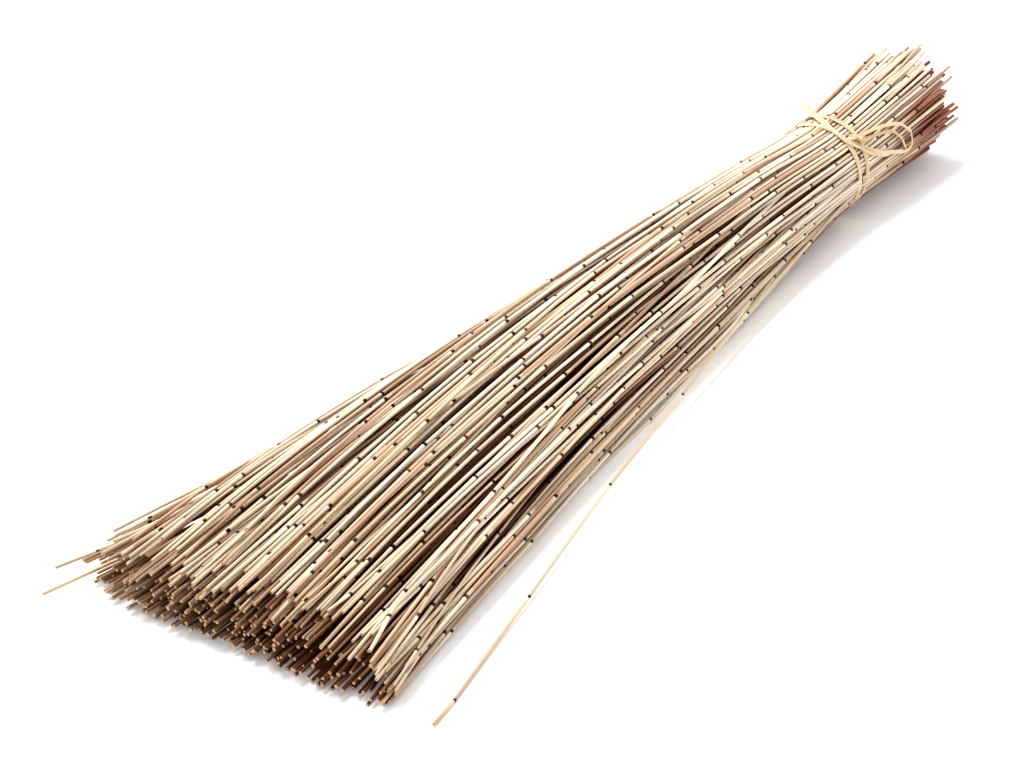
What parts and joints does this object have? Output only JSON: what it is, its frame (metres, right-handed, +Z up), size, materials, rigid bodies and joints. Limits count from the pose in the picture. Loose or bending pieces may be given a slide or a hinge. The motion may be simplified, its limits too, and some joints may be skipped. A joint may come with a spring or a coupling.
{
  "type": "bunch of reeds",
  "caption": "Dried thin reeds lying down, fanned out at one end and tied with a raffia bow near the other.",
  "frame": {"origin": "on the floor, under the middle of the bunch's box", "axes": "+X along the bunch towards the tied butt ends, +Y across it, +Z up from the floor"},
  "size_m": [1.0586, 0.3124, 0.1008],
  "materials": {
    "reed": "dry straw with a satin skin",
    "raffia": "dry fibrous, matte to satin"
  },
  "bodies": {
    "root": {"reed_sheaf": "reed", "reed_01": "reed", "reed_02": "reed", "reed_03": "reed", "reed_04": "reed", "reed_05": "reed", "reed_06": "reed", "reed_07": "reed", "reed_08": "reed", "reed_09": "reed", "reed_10": "reed", "reed_11": "reed", "reed_12": "reed", "reed_13": "reed", "reed_14": "reed", "reed_15": "reed", "reed_16": "reed", "reed_17": "reed", "reed_18": "reed", "reed_19": "reed", "reed_20": "reed", "reed_21": "reed", "reed_22": "reed", "reed_23": "reed", "reed_24": "reed", "reed_25": "reed", "reed_26": "reed", "reed_27": "reed", "reed_28": "reed", "reed_29": "reed", "reed_30": "reed", "reed_31": "reed", "reed_32": "reed", "reed_33": "reed", "reed_34": "reed", "reed_35": "reed", "reed_36": "reed", "reed_37": "reed", "reed_38": "reed", "reed_39": "reed", "reed_40": "reed", "reed_41": "reed", "reed_42": "reed", "reed_43": "reed", "reed_44": "reed", "reed_45": "reed", "reed_46": "reed", "reed_47": "reed", "reed_48": "reed", "reed_49": "reed", "reed_50": "reed", "stray_reed": "reed", "raffia_tie": "raffia"}
  },
  "joints": []
}
